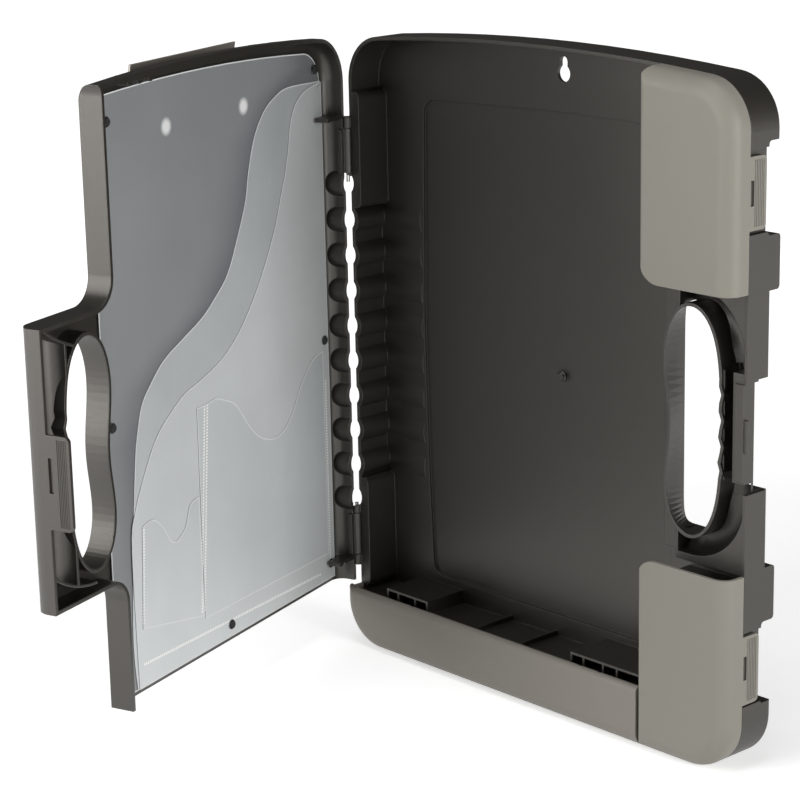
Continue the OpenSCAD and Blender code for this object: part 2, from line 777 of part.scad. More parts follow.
module door_pins_at(zs) {
    color(steel) place() for (z = zs)
        translate([bead_x, bead_y, z - 6.8]) cylinder(h = 13.6, d = door_pin_d);
}

module upper_door_pins() {
    door_pins_at([upper_z + 22, upper_z + 90]);
}

module lower_door_pins() {
    door_pins_at([20, lower_door_h - 22]);
}

module strip_door_pins() {
    color(steel) place() for (x0 = bracket_x)
        translate([x0 + 5, bead_y, strip_ax_z]) rotate([0, 90, 0]) cylinder(h = 24, d = door_pin_d);
}

// the riveted steel plate with two ears for the pivot pin
module clip_base_plate() {
    color(steel) lid_place() difference() {
        union() {
            translate([clip_x - 46, -1.3, clip_axis_z - 12]) cube([92, 1.2, 20]);
            for (s = [-1, 1])
                translate([clip_x + s * 44 - 0.6, -5.2, clip_axis_z - 4]) cube([1.2, 4.5, 8]);
            for (s = [-1, 1])
                translate([clip_x + s * 44 - 0.6, clip_axis_y, clip_axis_z]) rotate([0, 90, 0])
                    cylinder(h = 1.2, r = 4);
        }
        translate([clip_x - 70, clip_axis_y, clip_axis_z]) rotate([0, 90, 0])
            cylinder(h = 120, d = clip_pin_d + 0.04);
        for (s = [-1, 1])
            translate([clip_x + s * 39, -5, clip_axis_z - 3]) rotate([-90, 0, 0])
                cylinder(h = 10, d = 4.04);
    }
}

// section of the lever from its jaw up to its thumb edge
function lever_line(o) = [
    [-0.9 - 0.2 * o, clip_axis_z - 27], [-3.4 - 0.6 * o, clip_axis_z - 25],
    [-7.6 - o, clip_axis_z - 14], [-10.2 - o, clip_axis_z], [-10.6 - o, clip_axis_z + 14],
    [-9.6 - o, clip_axis_z + 26], [-8.6 - o, clip_axis_z + 31.5]];

module clip_lever() {
    n = 7;
    low = lever_line(0);
    high = lever_line(1.5);
    color([0.62, 0.61, 0.57]) lid_place() difference() {
        union() {
            translate([clip_x - clip_w / 2, 0, 0]) rotate([90, 0, 90]) linear_extrude(clip_w)
                polygon(concat(low, [for (i = [n - 1:-1:0]) high[i]]));
            for (s = [-1, 1])
                translate([clip_x + s * 42 - 0.7, 0, 0]) rotate([90, 0, 90]) linear_extrude(1.4)
                    polygon([[clip_axis_y + 2, clip_axis_z - 2.4], [clip_axis_y + 2, clip_axis_z + 2.4],
                        [-10.9, clip_axis_z + 9], [-9.6, clip_axis_z - 9]]);
        }
        translate([clip_x - 70, clip_axis_y, clip_axis_z]) rotate([0, 90, 0])
            cylinder(h = 120, d = clip_pin_d + pin_clear);
    }
}

// soft strip along the jaw that holds the paper
module clip_grip_pad() {
    color(black) lid_place() translate([clip_x - clip_w / 2 + 6, -0.9, clip_axis_z - 27])
        cube([clip_w - 12, 0.7, 3]);
}

// two bent leaves of spring steel that push the lever's thumb edge out
module clip_spring() {
    z = clip_axis_z;
    color(steel) lid_place() for (s = [-1, 1])
        translate([clip_x + s * 22 - 5, 0, 0]) rotate([90, 0, 90]) linear_extrude(10)
            polygon([[-1.35, z + 8], [-1.35, z + 1.5], [-2.2, z + 0.3], [-3.4, z + 1.2], [-9.95, z + 17],
                [-9.4, z + 17], [-3, z + 1.7], [-2.25, z + 0.9], [-1.8, z + 1.8], [-1.8, z + 8]]);
}

module clip_pivot_pin() {
    color(steel) lid_place() translate([clip_x - 46.5, clip_axis_y, clip_axis_z]) rotate([0, 90, 0])
        cylinder(h = 93, d = clip_pin_d);
}

module clip_rivets() {
    color(steel) lid_place() for (s = [-1, 1])
        translate([clip_x + s * 39, 0, clip_axis_z - 3]) rotate([-90, 0, 0]) union() {
            translate([0, 0, -2.3]) cylinder(h = 5, d = 4);
            translate([0, 0, -2.5]) cylinder(h = 1.2, r = 3.4);
            translate([0, 0, wall + 0.02]) cylinder(h = 0.5, r = 4);
        }
}

// outline of the lid's inside that a sheet may fill
module sheet_area(inset) {
    intersection() {
        union() {
            translate([9, strip_h + 3.5]) square([lid_x - 9 - wall - inset, side_top - strip_h - 3.5]);
            intersection() {
                translate([corner_r, strip_h + 3.5])
                    square([lid_x - corner_r - wall - inset, case_h - strip_h]);
                translate([mid_x, arch_cz]) circle(arch_r - 9, $fn = 400);
            }
            translate([corner_r, side_top]) circle(corner_r - 9);
        }
        difference() {
            translate([0, -5]) square([lid_x - wall - inset, case_h + 20]);
            polygon(hand_hole(3));
            translate([lid_x - wall - inset - 8, case_h - 20]) square([30, 30]);
        }
    }
}

module rivet_holes() {
    for (p = rivet_at)
        translate([p[0], p[1]]) circle(d = 3.1);
}

y_back = wall + 0.75;

module backing_sheet() {
    color([0.55, 0.57, 0.59]) lid_place() upright(y_back, y_back + 0.5) difference() {
        sheet_area(0.6);
        rivet_holes();
    }
}

// a rounded line through measured points, in short steps between neighbours
function between(a, b, c, d, t) =
    b + ((c - a) * t + (2 * a - 5 * b + 4 * c - d) * t * t + (3 * b - a - 3 * c + d) * t * t * t) / 2;

function rounded_line(p, steps = 5) = [
    for (i = [0 : len(p) - 2], k = [0 : steps - 1])
        between(p[max(i - 1, 0)], p[i], p[i + 1], p[min(i + 2, len(p) - 1)], k / steps),
    p[len(p) - 1]
];

// pocket edges as curves in x and z, from the top to the free side
wide_edge = [[9, 349.3], [44.8, 350.4], [59.9, 347], [72.9, 340], [84.3, 326.3], [91.6, 307.7],
    [95.8, 291.9], [106.3, 271.7], [117.6, 254], [132.7, 242.3], [146.7, 234.1], [167.2, 226.4],
    [184.7, 219.2], [198.2, 209], [207.5, 199.2], [212.8, 184.5], [216.1, 169.5], [221.3, 127],
    [226.1, 70.6], [224, 40]];
narrow_edge = [[9, 348.9], [26.4, 346.3], [37.7, 340.5], [44.7, 330.4], [47.7, 317.4], [51.8, 303.4],
    [58.1, 288.7], [65.5, 272], [77.4, 252.7], [91.2, 235.2], [108.7, 218.3], [127.1, 207.1],
    [150.1, 199.9], [165.7, 196.2], [179.3, 189.6], [195.1, 178.7], [206.9, 163.4], [219.1, 142.1],
    [224, 120], [223, 40]];
card_edge = [[156, 185], [145.5, 185.1], [136, 186], [127.3, 183], [119, 179.5], [112.6, 174.2],
    [101, 160], [90.1, 151.3], [77, 147], [64.3, 148.9], [54, 157], [45.9, 167.9], [36.2, 178.6],
    [26.9, 184.8], [16.6, 186.6]];
small_edge = [[214, 132], [208, 133.5], [201.8, 132.8], [193.8, 126], [188, 117.3], [183, 114.6],
    [179.5, 115.4], [172.5, 119.7], [167.2, 131], [160.4, 133.5], [157.5, 133.8]];

module wide_pocket_sheet() {
    y = y_back + 0.5 + sheet_gap;
    color([0.66, 0.68, 0.7]) lid_place() upright(y, y + 0.35) difference() {
        intersection() {
            sheet_area(0.6);
            polygon(concat(rounded_line(wide_edge), [[9, 40]]));
        }
        rivet_holes();
    }
}

module narrow_pocket_sheet() {
    y = y_back + 0.85 + 2 * sheet_gap;
    color([0.7, 0.72, 0.74]) lid_place() upright(y, y + 0.35) difference() {
        intersection() {
            sheet_area(0.6);
            polygon(concat(rounded_line(narrow_edge), [[9, 40]]));
        }
        rivet_holes();
    }
}

module letter_card_pocket() {
    y = y_back + 1.2 + 3 * sheet_gap;
    color([0.74, 0.76, 0.77]) lid_place() upright(y, y + 0.3)
        difference() {
            polygon(concat(rounded_line(card_edge), [[16.6, 57], [156, 60]]));
            rivet_holes();
        }
}

module small_card_pocket() {
    y = y_back + 1.2 + 3 * sheet_gap;
    color([0.74, 0.76, 0.77]) lid_place() upright(y, y + 0.3)
        polygon(concat(rounded_line(small_edge), [[157.5, 62], [218, 74]]));
}

// black push rivets that hold the sheet stack to the lid
module sheet_rivets() {
    y = y_back + 1.3 + 3 * sheet_gap;
    color(black) lid_place() for (p = rivet_at)
        translate([p[0], 0, p[1]]) rotate([-90, 0, 0]) union() {
            translate([0, 0, 0.2]) cylinder(h = y, d = 3);
            translate([0, 0, y + 0.15]) cylinder(h = 1, r1 = 2.9, r2 = 2.1);
        }
}

base_tray();
lid_shell();
upper_corner_door();
lower_corner_door();
pen_strip_door();
lid_hinge_pins();
upper_door_pins();
lower_door_pins();
strip_door_pins();
clip_base_plate();
clip_lever();
clip_spring();
clip_pivot_pin();
clip_rivets();
clip_grip_pad();
backing_sheet();
wide_pocket_sheet();
narrow_pocket_sheet();
letter_card_pocket();
small_card_pocket();
sheet_rivets();
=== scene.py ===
import math
import bpy
from mathutils import Matrix, Vector


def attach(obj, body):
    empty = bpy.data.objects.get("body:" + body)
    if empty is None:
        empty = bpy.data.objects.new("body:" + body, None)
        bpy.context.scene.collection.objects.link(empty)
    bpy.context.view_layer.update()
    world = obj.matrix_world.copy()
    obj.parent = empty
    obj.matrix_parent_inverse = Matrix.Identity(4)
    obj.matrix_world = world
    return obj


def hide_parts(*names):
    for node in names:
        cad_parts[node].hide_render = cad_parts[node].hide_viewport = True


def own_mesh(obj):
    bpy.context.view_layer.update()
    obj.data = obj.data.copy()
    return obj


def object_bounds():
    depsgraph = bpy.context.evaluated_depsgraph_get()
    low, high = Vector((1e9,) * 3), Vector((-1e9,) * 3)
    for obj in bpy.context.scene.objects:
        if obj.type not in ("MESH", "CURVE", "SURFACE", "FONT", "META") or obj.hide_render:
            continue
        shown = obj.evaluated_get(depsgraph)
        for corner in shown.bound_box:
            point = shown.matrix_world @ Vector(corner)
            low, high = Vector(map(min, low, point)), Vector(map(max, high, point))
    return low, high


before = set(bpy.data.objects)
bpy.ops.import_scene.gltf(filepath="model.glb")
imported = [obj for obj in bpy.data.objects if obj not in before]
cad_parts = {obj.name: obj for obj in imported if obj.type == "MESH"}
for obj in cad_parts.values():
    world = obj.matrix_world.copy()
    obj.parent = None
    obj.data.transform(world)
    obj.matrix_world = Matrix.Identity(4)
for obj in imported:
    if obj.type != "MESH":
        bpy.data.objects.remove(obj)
cad_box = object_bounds()

# The camera stands at the right front of the open case, a little above it.
# The case's left wall and the inside of the lid show from there.
view_turn = math.radians(48.94)
view_drop = math.radians(15.30)
view_roll = math.radians(-1.53)
camera_place = Vector((0.9724, -1.0090, 0.1916))
focus_in_pixels = 2527.09
picture_width = 800
look = Vector((
    -math.sin(view_turn) * math.cos(view_drop),
    math.cos(view_turn) * math.cos(view_drop),
    -math.sin(view_drop)))
level_right = Vector((math.cos(view_turn), math.sin(view_turn), 0))
level_up = level_right.cross(look)
camera_right = math.cos(view_roll) * level_right + math.sin(view_roll) * level_up
camera_up = math.cos(view_roll) * level_up - math.sin(view_roll) * level_right
lens = bpy.data.cameras.new("camera")
lens.sensor_width = 36
lens.lens = focus_in_pixels / picture_width * lens.sensor_width
lens.shift_x = 0.0567
lens.shift_y = 0.0136
camera = bpy.data.objects.new("camera", lens)
camera.matrix_world = Matrix((
    (camera_right.x, camera_up.x, -look.x, camera_place.x),
    (camera_right.y, camera_up.y, -look.y, camera_place.y),
    (camera_right.z, camera_up.z, -look.z, camera_place.z),
    (0, 0, 0, 1)))
bpy.context.scene.collection.objects.link(camera)
bpy.context.scene.camera = camera


# The studio is a white sweep: a wide round paper floor under the case's bottom edge.
# The paper glows a little where it is looked at, more so further out, and keeps the case's shadow.
# The air behind it is plain white to the camera and dim to everything that it lights.
class Socket:
    """One output of a shader node, which adds, multiplies and compares as a number does."""

    def __init__(self, shading, link):
        self.shading = shading
        self.link = link

    def maths(self, operation, *others):
        return self.shading.node("ShaderNodeMath", {"operation": operation}, self, *others)

    def maths_from(self, operation, first):
        return self.shading.node("ShaderNodeMath", {"operation": operation}, first, self)

    def __add__(self, other):
        return self.maths("ADD", other)

    __radd__ = __add__

    def __sub__(self, other):
        return self.maths("SUBTRACT", other)

    def __rsub__(self, other):
        return self.maths_from("SUBTRACT", other)

    def __mul__(self, other):
        return self.maths("MULTIPLY", other)

    __rmul__ = __mul__

    def __truediv__(self, other):
        return self.maths("DIVIDE", other)

    def __rtruediv__(self, other):
        return self.maths_from("DIVIDE", other)

    def __pow__(self, other):
        return self.maths("POWER", other)

    def __rpow__(self, other):
        return self.maths_from("POWER", other)

    def __gt__(self, other):
        return self.maths("GREATER_THAN", other)

    def __lt__(self, other):
        return self.maths("LESS_THAN", other)

    def at_least(self, other):
        return self.maths("MAXIMUM", other)

    def share(self):
        return self.maths("MAXIMUM", 0).maths("MINIMUM", 1)


class Shading:
    """The nodes of a material or of the world, written as expressions on sockets."""

    def __init__(self, owner, ending="ShaderNodeOutputMaterial"):
        self.owner = owner
        self.ending = ending
        owner.use_nodes = True
        self.tree = owner.node_tree
        self.tree.nodes.clear()

    def node(self, kind, settings, *values, out=0, **named):
        """Adds a node with these settings and inputs. A tuple of outputs gives a list of sockets."""
        made = self.tree.nodes.new(kind)
        for key, value in settings.items():
            if key == "stops":
                ramp = made.color_ramp.elements
                for element, (at, grey) in zip((ramp[0], ramp[1]), (value[0], value[-1])):
                    element.position = at
                    element.color = (grey, grey, grey, 1)
                for at, grey in value[1:-1]:
                    ramp.new(at).color = (grey, grey, grey, 1)
            else:
                setattr(made, key, value)
        pairs = list(enumerate(values)) + [(k.replace("_", " "), v) for k, v in named.items()]
        for key, value in pairs:
            if isinstance(value, Socket):
                self.tree.links.new(value.link, made.inputs[key])
            elif value is not None:
                made.inputs[key].default_value = value
        if isinstance(out, tuple):
            return [Socket(self, made.outputs[k]) for k in out]
        return Socket(self, made.outputs[out])

    def place(self):
        return self.node("ShaderNodeTexCoord", {}, out="Object")

    def stretched(self, scale, turn=None):
        return self.node("ShaderNodeMapping", {}, self.place(), None, turn, scale)

    def noise(self, scale, detail=2.0, rough=0.5, at=None):
        return self.node(
            "ShaderNodeTexNoise", {}, Vector=at or self.place(), Scale=scale, Detail=detail,
            Roughness=rough)

    def blend(self, share, first, second):
        colours = [c if isinstance(c, Socket) else (*c, 1) for c in (first, second)]
        return self.node("ShaderNodeMix", {"data_type": "RGBA"}, share, *[None] * 5, *colours, out=2)

    def rounded_edges(self, radius):
        """Normals rounded over sharp edges by this radius, and how much they differ from the face."""
        rounded = self.node("ShaderNodeBevel", {"samples": 6}, Radius=radius)
        plain = self.node("ShaderNodeNewGeometry", {}, out="Normal")
        return rounded, 1 - self.node(
            "ShaderNodeVectorMath", {"operation": "DOT_PRODUCT"}, rounded, plain, out="Value")

    def bump(self, strength, depth, height, normal=None):
        return self.node(
            "ShaderNodeBump", {}, Strength=strength, Distance=depth, Height=height, Normal=normal)

    def principled(self, **inputs):
        return self.finish(self.node("ShaderNodeBsdfPrincipled", {}, **inputs))

    def finish(self, surface):
        output = self.tree.nodes.new(self.ending)
        self.tree.links.new(surface.link, output.inputs["Surface"])
        return self.owner


floor_height = cad_box[0][2]
near_radius = 0.4
fade_width = 0.9
near_glow = 0.55
bpy.ops.object.select_all(action="DESELECT")
bpy.ops.mesh.primitive_circle_add(
    vertices=96, radius=6, fill_type="NGON", location=(0, 0, floor_height))
floor = bpy.context.object
floor.name = "studio_floor"
paper = Shading(bpy.data.materials.new("studio_paper"))
by_camera, by_gloss, by_film = paper.node(
    "ShaderNodeLightPath", {}, out=("Is Camera Ray", "Is Glossy Ray", "Is Transmission Ray"))
looked_at = by_camera.at_least(by_gloss).at_least(by_film)
paper_x, paper_y = paper.node("ShaderNodeSeparateXYZ", {}, paper.place(), out=(0, 1))
reach = ((paper_x * paper_x + paper_y * paper_y) ** 0.5 - near_radius) / fade_width
glow = looked_at * (reach.share() * (1 - near_glow) + near_glow)
floor.data.materials.append(paper.finish(paper.node(
    "ShaderNodeAddShader", {},
    paper.node("ShaderNodeBsdfDiffuse", {}, Color=(0.82, 0.82, 0.82, 1)),
    paper.node("ShaderNodeEmission", {}, Color=glow, Strength=1))))

air = Shading(bpy.data.worlds.new("studio"), "ShaderNodeOutputWorld")
bpy.context.scene.world = air.owner
dim_light = 0.07
air_to_camera, air_to_film = air.node(
    "ShaderNodeLightPath", {}, out=("Is Camera Ray", "Is Transmission Ray"))
white = air_to_camera.at_least(air_to_film) * (1 - dim_light) + dim_light
air.finish(air.node("ShaderNodeBackground", {}, Color=(1, 1, 1, 1), Strength=white))

# Four soft boxes light the case: one high in front of it, a wide low one that shines along its
# front faces, one level with it on the right, which reaches the inside of the open lid,
# and a weak one overhead for the top edges.
case_middle = Vector((-0.02, -0.08, -0.17))
for name, stand, width, height, power in (
        ("soft_box_front", (-0.4, -1.6, 0.75), 1.1, 1.1, 15.5),
        ("soft_box_low", (-0.85, -2.1, 0.0), 1.6, 0.6, 15),
        ("soft_box_right", (2.4, 0.05, 0.25), 1.0, 1.0, 42),
        ("soft_box_top", (0.1, -0.35, 1.6), 0.8, 0.8, 9)):
    lamp = bpy.data.lights.new(name, "AREA")
    lamp.shape = "RECTANGLE"
    lamp.size = width
    lamp.size_y = height
    lamp.energy = power
    soft_box = bpy.data.objects.new(name, lamp)
    soft_box.location = stand
    soft_box.rotation_euler = (case_middle - Vector(stand)).to_track_quat("-Z", "Y").to_euler()
    bpy.context.scene.collection.objects.link(soft_box)
bpy.context.scene.view_settings.view_transform = "Standard"


# The base tray is one injection moulding in charcoal polypropylene, with a fine spark-eroded grain.
# Its edges are lighter, partly polished from handling and partly a painted highlight, and the flat
# back shows faint flow marks.
def moulded_plastic(name, colour, flow_colour, worn_and_lit_edge_colour, gloss, shine=0.5):
    """Moulded plastic: a fine grain, faint flow marks, rare scuffs, and lighter edges that are partly
    polish from handling and partly a painted highlight.
    """
    s = Shading(bpy.data.materials.new(name))
    flow = s.noise(9.0, 3.0, 0.6)
    speck = s.noise(700.0, 2.0, 0.6)
    scratches = s.noise(1.0, 2.0, 0.5, at=s.stretched((60.0, 60.0, 900.0), turn=(0.5, 0.3, 0.9)))
    scuff = ((scratches - 0.72) * 9).share()
    grain = s.noise(2600.0, 3.0, 0.65)
    rounded, turned = s.rounded_edges(0.0006)
    # The edge mask lightens the colour: partly handling polish, partly a painted highlight along the
    # edges.
    edge = (turned * 7).share()
    shade = (flow - 0.5) * 0.6 + (speck - 0.5) * 0.3 + 0.5
    tint = s.blend(shade.share(), colour, flow_colour)
    return s.principled(
        Base_Color=s.blend((edge * 0.55 + scuff * 0.25).share(), tint, worn_and_lit_edge_colour),
        Roughness=(flow - 0.5) * 0.12 + (speck - 0.5) * 0.16 - edge * 0.08 + gloss,
        Specular_IOR_Level=shine,
        Specular_Tint=(1.0, 0.96, 0.89, 1),
        Normal=s.bump(0.25, 0.00006, grain, rounded))


def dress(material, *nodes):
    """Gives CAD nodes one material in place of what they came with."""
    for node in nodes:
        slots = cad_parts[node].data.materials
        slots.clear()
        slots.append(material)


dress(moulded_plastic(
    "charcoal_plastic", (0.0115, 0.0098, 0.0080), (0.0150, 0.0130, 0.0108), (0.052, 0.048, 0.043),
    gloss=0.42, shine=0.85), "base_tray")

# The lid is moulded in the same charcoal plastic and turns on long pins along the spine.
# Its flange, latch tab and grip are one piece with the face, and it stands open by this angle.
# Places on it are measured along it from the hinge line, up from its bottom edge and inwards.
lid_angle = math.radians(71.3)
lid_along = Vector((math.cos(lid_angle), -math.sin(lid_angle), 0))
lid_inside = Vector((math.sin(lid_angle), math.cos(lid_angle), 0))
lid_up = Vector((0, 0, 1))
hinge_foot = Vector((-0.158, -0.0245, -0.3635))
hinge_outside = 0.0025
dress(moulded_plastic(
    "lid_charcoal_plastic", (0.013, 0.0114, 0.0095), (0.018, 0.016, 0.0135), (0.062, 0.058, 0.052),
    gloss=0.38, shine=0.95), "lid_shell")

# The two corner doors are moulded in warm grey plastic with a matt face.
# Each turns on two pins in its rolled edge and is held by the springy tab on the grip side.
dress(moulded_plastic(
    "door_grey_plastic", (0.235, 0.222, 0.190), (0.250, 0.238, 0.205), (0.33, 0.32, 0.29),
    gloss=0.5), "upper_corner_door", "lower_corner_door")

# The bottom strip closes the pen compartment. It is the same warm grey, a shade darker,
# and swings up on short pins in the two brackets under the shelf.
dress(moulded_plastic(
    "strip_grey_plastic", (0.222, 0.203, 0.177), (0.242, 0.223, 0.197), (0.29, 0.275, 0.25),
    gloss=0.5), "pen_strip_door")


# All hinge pins are cut from drawn steel wire and pressed into their knuckles.
# The drawing leaves fine lines along the wire: upright on the spine and doors, level on the strip.
def bare_steel(name, colour, dull, line_scale, gloss=0.3):
    """Bright steel with fine lines along its length and a faint dull film."""
    s = Shading(bpy.data.materials.new(name))
    lines = s.noise(1.0, 3.0, 0.6, at=s.stretched(line_scale))
    film = s.noise(140.0, 3.0, 0.6)
    return s.principled(
        Base_Color=s.blend(((film - 0.35) * 1.6).share(), colour, dull),
        Metallic=1.0,
        Roughness=(lines - 0.5) * 0.25 + (film - 0.5) * 0.2 + gloss,
        Normal=s.bump(0.3, 0.00003, lines))


wire_colour = (0.62, 0.61, 0.59)
wire_dull = (0.46, 0.45, 0.43)
upright_wire = bare_steel("upright_wire_steel", wire_colour, wire_dull, (4000.0, 4000.0, 60.0))
level_wire = bare_steel("level_wire_steel", wire_colour, wire_dull, (60.0, 4000.0, 4000.0))
dress(upright_wire, "lid_hinge_pins", "upper_door_pins", "lower_door_pins")
dress(level_wire, "strip_door_pins")

# The clip's base plate is stamped from nickel-plated sheet steel and riveted to the lid.
# Its two ears hold the pivot pin, which is cut from the same wire as the hinge pins.
plated_steel = bare_steel(
    "plated_sheet_steel", (0.66, 0.65, 0.62), (0.50, 0.49, 0.47), (900.0, 900.0, 90.0), gloss=0.24)
dress(plated_steel, "clip_base_plate", "clip_rivets")
dress(upright_wire, "clip_pivot_pin")


# The clip's spring is a pair of bent leaves of spring steel between the plate and the lever.
# On the real clip they flatten towards the plate when the thumb edge is pressed; here they ride with
# the lid in one shape.
def merged_copy(name, node, materials, flatness):
    """A selected copy of a CAD node, its triangles merged into faces flat to this angle."""
    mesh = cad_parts[node].data.copy()
    mesh.name = name
    mesh.materials.clear()
    for material in materials:
        mesh.materials.append(material)
    piece = bpy.data.objects.new(name, mesh)
    bpy.context.scene.collection.objects.link(piece)
    bpy.ops.object.select_all(action="DESELECT")
    bpy.context.view_layer.objects.active = piece
    piece.select_set(True)
    bpy.ops.mesh.customdata_custom_splitnormals_clear()
    bpy.ops.object.mode_set(mode="EDIT")
    bpy.ops.mesh.select_all(action="SELECT")
    bpy.ops.mesh.remove_doubles(threshold=0.00001)
    bpy.ops.mesh.dissolve_limited(angle_limit=flatness)
    bpy.ops.mesh.normals_make_consistent(inside=False)
    bpy.ops.object.mode_set(mode="OBJECT")
    return piece


def soft_edged(name, node, material, radius):
    """A copy of the node with its edges rounded by this radius and its curves smooth."""
    piece = merged_copy(name, node, [material], math.radians(0.5))
    rounding = piece.modifiers.new("rounding", "BEVEL")
    rounding.width = radius
    rounding.segments = 3
    rounding.limit_method = "ANGLE"
    rounding.angle_limit = math.radians(50)
    bpy.ops.object.modifier_apply(modifier="rounding")
    bpy.ops.object.shade_smooth_by_angle(angle=math.radians(35))
    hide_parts(node)
    return piece


spring_steel = bare_steel(
    "spring_steel", (0.40, 0.39, 0.38), (0.28, 0.26, 0.25), (900.0, 900.0, 900.0), gloss=0.36)
leaves = soft_edged("clip_leaf_springs", "clip_spring", spring_steel, 0.0001)
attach(leaves, "lid")
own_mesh(leaves)


# The clip's lever is a wide curved plate of sheet steel with rolled edges, in a satin grey paint.
# The paint has a slight orange peel and is thin along the edges.
def satin_paint(name, colour, thin_colour):
    """Sprayed satin paint over steel: orange peel, soft clouds and thin edges."""
    s = Shading(bpy.data.materials.new(name))
    peel = s.noise(420.0, 2.0, 0.5)
    cloud = s.noise(16.0, 3.0, 0.55)
    rounded, turned = s.rounded_edges(0.0005)
    edge = (turned * 8).share()
    return s.principled(
        Base_Color=s.blend((edge * 0.7 + (cloud - 0.5) * 0.4).share(), colour, thin_colour),
        Metallic=0.35,
        Roughness=(cloud - 0.5) * 0.12 + (peel - 0.5) * 0.08 + 0.34,
        Normal=s.bump(0.15, 0.0001, peel, rounded))


lever_paint = satin_paint("clip_satin_paint", (0.31, 0.275, 0.245), (0.50, 0.47, 0.44))
lever = soft_edged("clip_thumb_lever", "clip_lever", lever_paint, 0.0004)
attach(lever, "clip")


# The pad along the jaw is an extruded strip of black rubber, glued on.
# It is dusty and fully matt.
def soft_rubber(name, colour, dusty):
    """Matt black rubber or nylon with a dusty bloom."""
    s = Shading(bpy.data.materials.new(name))
    dust = s.noise(300.0, 4.0, 0.65)
    return s.principled(
        Base_Color=s.blend(((dust - 0.4) * 1.5).share(), colour, dusty),
        Roughness=(dust - 0.5) * 0.1 + 0.82,
        Normal=s.bump(0.3, 0.00008, dust))


dress(soft_rubber("pad_rubber", (0.014, 0.014, 0.014), (0.040, 0.039, 0.037)), "clip_grip_pad")


# The pocket set is a stack of frosted vinyl sheets: a backing sheet, two wide pockets and two card
# pockets. Each is stamped out, and a pale band painted along its cut edge stands for the highlight
# there; rows of fine dots weld the stack.
# The clip's two rivets are painted on the backing as a pale glimmer, and a painted shadow of the wide
# pocket darkens the backing beside the pocket's curved edge.
def weld_dots(across, height):
    """Rows of dots from a first to a last point, in metres along the lid and up it."""
    dot_pitch = 0.00175
    dot_share = 0.62
    row_half_width = 0.0008
    dots = None
    for a0, h0, a1, h1 in (
            (0.1453, 0.1849, 0.1565, 0.0643), (0.1482, 0.1849, 0.1594, 0.0643),
            (0.2126, 0.1313, 0.2172, 0.0765), (0.0138, 0.1675, 0.0142, 0.0521),
            (0.2182, 0.0533, 0.0256, 0.0464)):
        if abs(h1 - h0) > abs(a1 - a0):
            off_line = across - ((height - h0) * ((a1 - a0) / (h1 - h0)) + a0)
            step, low, high = height, h1, h0
        else:
            off_line = height - ((across - a0) * ((h1 - h0) / (a1 - a0)) + h0)
            step, low, high = across, a1, a0
        row = (off_line.maths("ABSOLUTE") < row_half_width) * (step > low) * (step < high)
        row = row * ((step / dot_pitch).maths("FRACT") < dot_share)
        dots = row if dots is None else dots.at_least(row)
    return dots


def painted_rivet_glimmer(across, height):
    """The two clip rivets as soft pale spots: a painted glimmer of them through the film."""
    spots = None
    for rivet in (0.093, 0.171):
        distance = ((across - rivet) ** 2 + (height - 0.346) ** 2) ** 0.5
        spot = ((0.0056 - distance) * 330).share()
        spots = spot if spots is None else spots.at_least(spot)
    return spots


def painted_pocket_shadow(s, across, height):
    """The painted shadow of the wide pocket on the backing: strongest at its curved edge, fading over
    some millimetres.
    """
    curve_foot = 0.18
    curve_width = 0.25
    fade = 0.034
    edge = s.node("ShaderNodeValToRGB", {"stops": (
        (0.0, 0.87), (0.16, 0.793), (0.258, 0.669), (0.346, 0.531), (0.509, 0.425),
        (0.709, 0.366), (0.813, 0.337), (0.928, 0.240), (1.0, 0.10))}, (height - curve_foot) / 0.18)
    return (1 - (across - edge * curve_width) / fade).share() ** 1.6


def frosted_film(name, colour, cloud_and_light_colour, corner_lighting, gloss=0.40, backing=False):
    """Frosted vinyl film: soft clouds, painted lighter towards its low free corner as light falls
    there, with weld dots.
    """
    s = Shading(bpy.data.materials.new(name))
    x, y, z = s.node("ShaderNodeSeparateXYZ", {}, s.place(), out=(0, 1, 2))
    across = (x - hinge_foot.x) * lid_along.x + (y - hinge_foot.y) * lid_along.y - hinge_outside
    height = z - hinge_foot.z
    dots = weld_dots(across, height)
    clouds = s.noise(14.0, 3.0, 0.55)
    frost = s.noise(900.0, 2.0, 0.5)
    streaks = s.noise(1.0, 2.0, 0.5, at=s.stretched((160.0, 160.0, 6.0)))
    # Painted light: the film is lighter towards its low free corner, where more light falls.
    painted_corner_light = ((1 - height / 0.36).share() * 0.65 + (across / 0.24).share() * 0.35) ** 1.6
    mottle = (clouds - 0.5) * 0.5 + (streaks - 0.5) * 0.06 + (frost - 0.5) * 0.12
    film = s.blend((mottle + painted_corner_light * corner_lighting + 0.1).share(), colour, cloud_and_light_colour)
    marks = dots
    if backing:
        # Painted shadow: the backing darkens beside the wide pocket's curved edge.
        film = s.blend(painted_pocket_shadow(s, across, height) * 0.45, film, (0.07, 0.078, 0.09))
        # Painted glimmer: pale spots where the clip's rivets lie behind the backing.
        marks = (dots + painted_rivet_glimmer(across, height) * 0.8).share()
    return s.principled(
        Base_Color=s.blend(marks, film, (0.95, 0.95, 0.94)),
        Roughness=(clouds - 0.5) * 0.16 + (frost - 0.5) * 0.14 - dots * 0.12 + gloss,
        Normal=s.bump(0.5, 0.00012, dots + frost * 0.15))


def film_edge_highlight(name, colour, highlight_colour):
    """Painted highlight along the film's stamped edge: a pale band, slightly uneven."""
    s = Shading(bpy.data.materials.new(name))
    nick = s.noise(1200.0, 2.0, 0.5)
    return s.principled(
        Base_Color=s.blend(((nick - 0.3) * 2).share(), colour, highlight_colour),
        Roughness=(nick - 0.5) * 0.2 + 0.35)


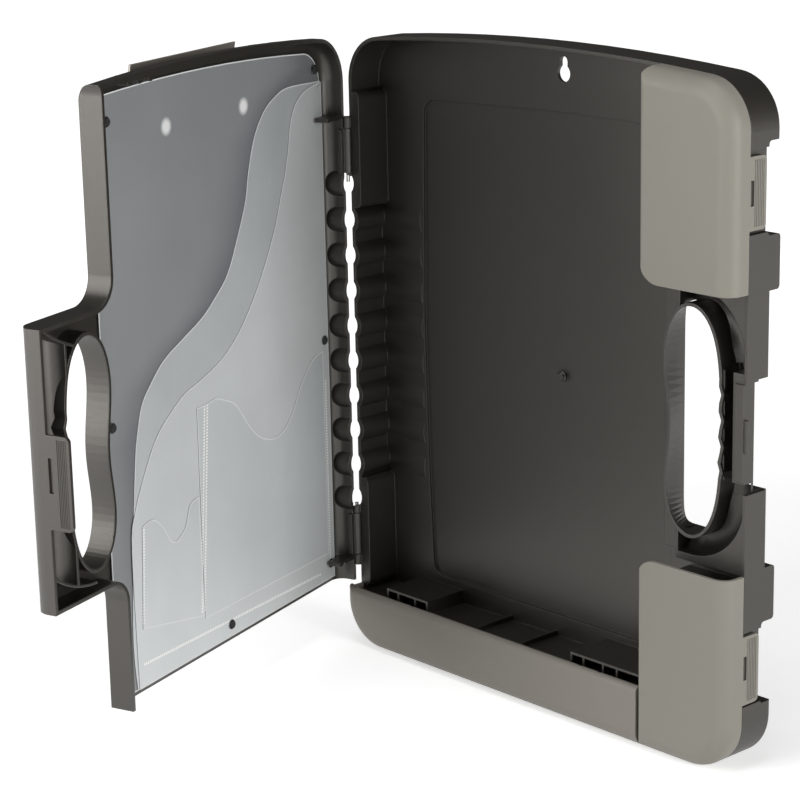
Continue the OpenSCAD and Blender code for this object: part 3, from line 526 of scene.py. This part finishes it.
def film_sheet(name, node, film, edge):
    """The node's outline with a painted pale edge highlight, laid in the shallow waves that loose
    film has.
    """
    edge_width = 0.0007
    grid = 0.0095
    lowest_row = 0.0395
    wave_height = 0.00022
    flat_border = 0.03
    piece = merged_copy(name, node, [film, edge], 0.005)
    mesh = piece.data
    bpy.ops.object.mode_set(mode="EDIT")
    bpy.ops.mesh.select_mode(type="FACE")
    bpy.ops.object.mode_set(mode="OBJECT")
    for face in mesh.polygons:
        face.select = face.normal.dot(lid_inside) > 0.9
    bpy.ops.object.mode_set(mode="EDIT")
    bpy.ops.mesh.inset(thickness=edge_width, depth=0, use_select_inset=True)
    bpy.ops.object.mode_set(mode="OBJECT")
    for face in mesh.polygons:
        face.material_index = 1 if face.select else 0
    bpy.ops.object.mode_set(mode="EDIT")
    columns = [(grid * step, lid_along) for step in range(1, 26)]
    rows = [(lowest_row + grid * step, lid_up) for step in range(1, 36)]
    for distance, direction in columns + rows:
        bpy.ops.mesh.select_all(action="SELECT")
        bpy.ops.mesh.bisect(plane_co=hinge_foot + direction * distance, plane_no=direction)
    bpy.ops.object.mode_set(mode="OBJECT")
    for point in mesh.vertices:
        across = (point.co - hinge_foot).dot(lid_along)
        height = point.co.z - hinge_foot.z
        swell = math.sin(across * 31 + 0.6) * math.sin(height * 19 + 1.1)
        swell += 0.5 * math.sin(across * 57 + height * 23)
        border = min(across - 0.02, 0.235 - across, height - 0.055, 0.352 - height)
        loose = max(0.0, min(1.0, border / flat_border))
        point.co += lid_inside * (wave_height * loose * (swell + 1.2) / 2.7)
    bpy.ops.object.shade_smooth_by_angle(angle=math.radians(25))
    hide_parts(node)
    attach(piece, "lid")


backing_vinyl = frosted_film(
    "backing_frosted_film", (0.215, 0.225, 0.232), (0.33, 0.34, 0.34), corner_lighting=0.7, gloss=0.42,
    backing=True)
wide_vinyl = frosted_film("wide_pocket_film", (0.35, 0.37, 0.375), (0.68, 0.71, 0.72), corner_lighting=0.8)
narrow_vinyl = frosted_film("narrow_pocket_film", (0.48, 0.495, 0.50), (0.72, 0.75, 0.75), corner_lighting=0.75)
card_vinyl = frosted_film("card_pocket_film", (0.42, 0.445, 0.45), (0.70, 0.73, 0.73), corner_lighting=0.9)
stamped_edge_highlight = film_edge_highlight("stamped_film_edge_highlight", (0.64, 0.66, 0.66), (0.78, 0.80, 0.80))
trimmed_edge_highlight = film_edge_highlight("trimmed_film_edge_highlight", (0.68, 0.70, 0.70), (0.80, 0.82, 0.82))
film_sheet("backing_film", "backing_sheet", backing_vinyl, trimmed_edge_highlight)
film_sheet("wide_pocket_film", "wide_pocket_sheet", wide_vinyl, stamped_edge_highlight)
film_sheet("narrow_pocket_film", "narrow_pocket_sheet", narrow_vinyl, stamped_edge_highlight)
film_sheet("letter_card_film", "letter_card_pocket", card_vinyl, trimmed_edge_highlight)
film_sheet("small_card_film", "small_card_pocket", card_vinyl, trimmed_edge_highlight)

# Six black nylon push rivets hold the stack to the lid, with low round heads.
# Each is pushed through the sheets into a hole in the lid's face.
dress(soft_rubber("rivet_nylon", (0.012, 0.012, 0.012), (0.030, 0.030, 0.029)), "sheet_rivets")
